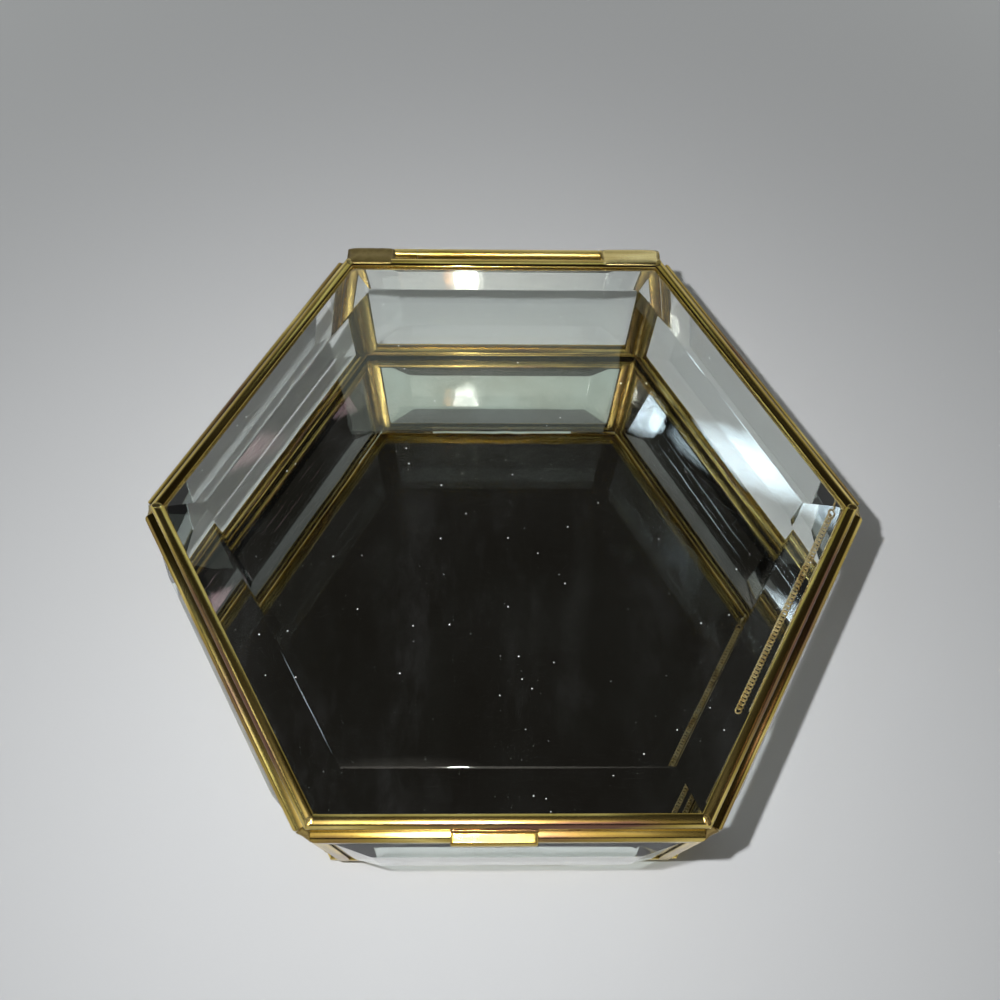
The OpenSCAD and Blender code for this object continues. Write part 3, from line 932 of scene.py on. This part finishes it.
# What glass and brass show of them: name, place, size, strength and colour
GLOWS = (
    ("window_glow", WINDOW, (0.22, 0.07), 13.0, "#DDEEFF"),
    ("far_glow", FAR_SIDE, (0.15, 0.04), 2.2, "#EBC4CC"),
    ("flash_glow", (-0.017, -0.0795, 0.298), (0.016, 0.02), 1500.0, "#FFFCF6"),
    ("amber_glow", (-0.027, -0.0792, 0.2985), (0.011, 0.016), 9.0, "#F0B070"),
    ("flash_halo", (-0.017, -0.079, 0.299), (0.026, 0.028), 8.0, "#FFF8EE"),
    ("soft_front", (-0.017, -0.078, 0.301), (0.22, 0.13), 1.6, "#FFF8EC"),
)


def aimed(place):
    """Turn of a lamp or glow at place that points at the casket."""
    return (Vector(MIDDLE) - Vector(place)).to_track_quat("-Z", "Y").to_euler()


def lamp(name, place, size, watts, colour):
    """Oval soft box at place, with its width and its height in size."""
    data = bpy.data.lights.new(name, "AREA")
    data.shape = "ELLIPSE"
    data.size, data.size_y = size
    data.energy, data.color = watts, linear(colour)[:3]
    item = bpy.data.objects.new(name, data)
    item.location, item.rotation_euler = place, aimed(place)
    item.visible_glossy = item.visible_transmission = False
    bpy.context.collection.objects.link(item)


def set_sheet(name, corners, material):
    """Flat sheet of the set, which isn't part of the casket."""
    sheet = add_mesh(name, np.array(corners, float), [[0, 1, 2, 3]], smooth=False)
    coat([sheet], material)
    return sheet


def soft_glow(name, place, size, strength, colour):
    """Oval glow at place that only glass and brass show. Its light falls off from the middle
    as one minus the square of the distance, and it is clear past its edge."""
    material, tree, where, out = new_material(name)
    scaled = add_node(
        tree, "ShaderNodeMapping", None, Vector=where, Scale=(2 / size[0], 2 / size[1], 0.0),
    )
    far = add_node(
        tree, "ShaderNodeVectorMath", {"operation": "DOT_PRODUCT"},
        n0=scaled.outputs[0], n1=scaled.outputs[0],
    )
    near = add_node(
        tree, "ShaderNodeMath", {"operation": "SUBTRACT", "use_clamp": True},
        n0=1.0, n1=far.outputs["Value"],
    )
    lit = add_node(
        tree, "ShaderNodeEmission", None, Color=linear(colour), Strength=strength,
    )
    open_way = add_node(tree, "ShaderNodeBsdfTransparent")
    both = add_node(
        tree, "ShaderNodeMixShader", None,
        n0=near.outputs[0], n1=open_way.outputs[0], n2=lit.outputs[0],
    )
    tree.links.new(both.outputs[0], out.inputs["Surface"])
    w, h = size[0] / 2, size[1] / 2
    disc = set_sheet(name, [[-w, -h, 0], [w, -h, 0], [w, h, 0], [-w, h, 0]], material)
    disc.location, disc.rotation_euler = place, aimed(place)
    disc.visible_camera = disc.visible_diffuse = disc.visible_shadow = False


def paper_floor(s):
    """Matt paper that takes the shadow. From 0.16 to 0.6 m away, where the lamps no longer
    reach it, it fades into the pale room, though not in the light that it throws back."""
    paper, tree, where, out = new_material("matt_paper_floor")
    shader = add_node(
        tree, "ShaderNodeBsdfPrincipled", None, Base_Color=linear(s.floor), Roughness=0.9,
    )
    flat = add_node(tree, "ShaderNodeVectorMath", {"operation": "LENGTH"}, Vector=where)
    rays = add_node(tree, "ShaderNodeLightPath")
    far = add_node(
        tree, "ShaderNodeMapRange", {"interpolation_type": "SMOOTHSTEP"},
        Value=flat.outputs["Value"], n1=0.16, n2=0.6, n3=0.0, n4=0.5,
    ).outputs[0]
    for kind in ("Is Diffuse Ray", "Is Shadow Ray"):
        unseen = add_node(
            tree, "ShaderNodeMath", {"operation": "SUBTRACT"}, n0=1.0, n1=rays.outputs[kind],
        )
        far = add_node(
            tree, "ShaderNodeMath", {"operation": "MULTIPLY"}, n0=far, n1=unseen.outputs[0],
        ).outputs[0]
    pale = add_node(tree, "ShaderNodeEmission", None, Color=linear(s.low_room), Strength=far)
    both = add_node(
        tree, "ShaderNodeAddShader", None, n0=shader.outputs[0], n1=pale.outputs[0],
    )
    tree.links.new(both.outputs[0], out.inputs["Surface"])
    set_sheet("floor", [[-3, -3, 0], [3, -3, 0], [3, 3, 0], [-3, 3, 0]], paper)


def lit_card(s):
    """Lit card behind and above the casket, seen only in its glass and brass."""
    grey, tree, _, out = new_material("lit_card")
    glow = add_node(tree, "ShaderNodeEmission", None, Color=linear(s.card), Strength=1.3)
    tree.links.new(glow.outputs[0], out.inputs["Surface"])
    left, right, behind, low, high = -0.2, 0.17, 0.6, 0.7, 1.12
    card = set_sheet(
        "card",
        [[left, behind, low], [left, behind, high], [right, behind, high], [right, behind, low]],
        grey,
    )
    card.visible_camera = card.visible_diffuse = card.visible_shadow = False


def pale_room(scene, s):
    """Room that is pale up to eye height and dark above it, as glass and brass show it. The
    camera itself sees it pale all over."""
    world = bpy.data.worlds.new("room")
    scene.world = world
    world.use_nodes = True
    tree = world.node_tree
    tree.nodes.clear()
    way = add_node(tree, "ShaderNodeTexCoord").outputs["Generated"]
    height = add_node(tree, "ShaderNodeSeparateXYZ", None, Vector=way)
    shade = add_node(
        tree, "ShaderNodeValToRGB",
        {"stops": [(0.0, s.low_room), (0.5, s.low_room), (0.79, s.high_room)]},
        Fac=height.outputs["Z"],
    )
    rays = add_node(tree, "ShaderNodeLightPath")
    mirrored = add_node(
        tree, "ShaderNodeMath", {"operation": "MAXIMUM"},
        n0=rays.outputs["Is Glossy Ray"], n1=rays.outputs["Is Transmission Ray"],
    )
    seen = add_node(
        tree, "ShaderNodeMath", {"operation": "MAXIMUM"},
        n0=rays.outputs["Is Camera Ray"], n1=mirrored.outputs[0],
    )
    colour = add_node(
        tree, "ShaderNodeMix", {"data_type": "RGBA"},
        n0=rays.outputs["Is Camera Ray"], n6=shade.outputs[0], n7=linear(s.low_room),
    )
    strength = add_node(
        tree, "ShaderNodeMapRange", None,
        Value=seen.outputs[0], n3=s.room_light, n4=s.room_shown,
    )
    sky = add_node(
        tree, "ShaderNodeBackground", None,
        Color=colour.outputs[2], Strength=strength.outputs[0],
    )
    end = add_node(tree, "ShaderNodeOutputWorld")
    tree.links.new(sky.outputs[0], end.inputs["Surface"])


class CASKET_OT_stage(bpy.types.Operator):
    """Sets the camera, the lamps, the floor, the card and the room"""

    bl_idname = "casket.make_stage"
    bl_label = "Stage"

    def execute(self, context):
        s = context.scene.casket_stage
        scene = context.scene
        camera = bpy.data.objects.new("camera", bpy.data.cameras.new("camera"))
        camera.data.sensor_width, camera.data.lens = 36.0, s.lens
        camera.data.clip_start = 0.01
        camera.location, camera.rotation_euler = s.camera_place, s.camera_turn
        context.collection.objects.link(camera)
        scene.camera = camera
        scene.view_settings.view_transform = "Standard"

        paper_floor(s)
        lit_card(s)
        lamp("key_lamp", WINDOW, (0.15, 0.06), s.key_watts, "#E4F1FF")
        lamp("fill_lamp", FAR_SIDE, (0.13, 0.05), s.fill_watts, "#F2D2D6")
        lamp("front_lamp", BESIDE, (0.006, 0.006), s.front_watts, "#F9FBFF")
        for glow in GLOWS:
            soft_glow(*glow)
        pale_room(scene, s)
        return {"FINISHED"}


# ---- Panel and registration ----------------------------------------------------------

SETTINGS = {
    "casket_chain": CasketChainSettings,
    "casket_mirror": CasketMirrorSettings,
    "casket_glass": CasketGlassSettings,
    "casket_brass": CasketBrassSettings,
    "casket_solder": CasketSolderSettings,
    "casket_tab": CasketTabSettings,
    "casket_stage": CasketStageSettings,
}


class CASKET_PT_panel(bpy.types.Panel):
    """Lists the casket's pieces with their sizes and colours"""

    bl_idname = "CASKET_PT_panel"
    bl_label = "Glass Casket"
    bl_space_type = "VIEW_3D"
    bl_region_type = "UI"
    bl_category = "Casket"

    def draw(self, context):
        for (name, group), operator in zip(SETTINGS.items(), OPERATORS):
            column = self.layout.box().column()
            for key in group.__annotations__:
                column.prop(getattr(context.scene, name), key)
            column.operator(operator.bl_idname)


OPERATORS = (
    CASKET_OT_chain,
    CASKET_OT_mirror,
    CASKET_OT_glass,
    CASKET_OT_brass,
    CASKET_OT_solder,
    CASKET_OT_tab,
    CASKET_OT_stage,
)
CLASSES = (*SETTINGS.values(), *OPERATORS, CASKET_PT_panel)


def register():
    for cls in CLASSES:
        bpy.utils.register_class(cls)
    for name, group in SETTINGS.items():
        setattr(bpy.types.Scene, name, bpy.props.PointerProperty(type=group))


def unregister():
    for name in SETTINGS:
        delattr(bpy.types.Scene, name)
    for cls in reversed(CLASSES):
        bpy.utils.unregister_class(cls)


def main():
    register()
    bpy.ops.casket.make_chain()
    bpy.ops.casket.make_mirror()
    bpy.ops.casket.make_panes()
    bpy.ops.casket.finish_brass()
    bpy.ops.casket.make_solder()
    bpy.ops.casket.make_tab()
    bpy.ops.casket.make_stage()


if __name__ == "__main__":
    main()
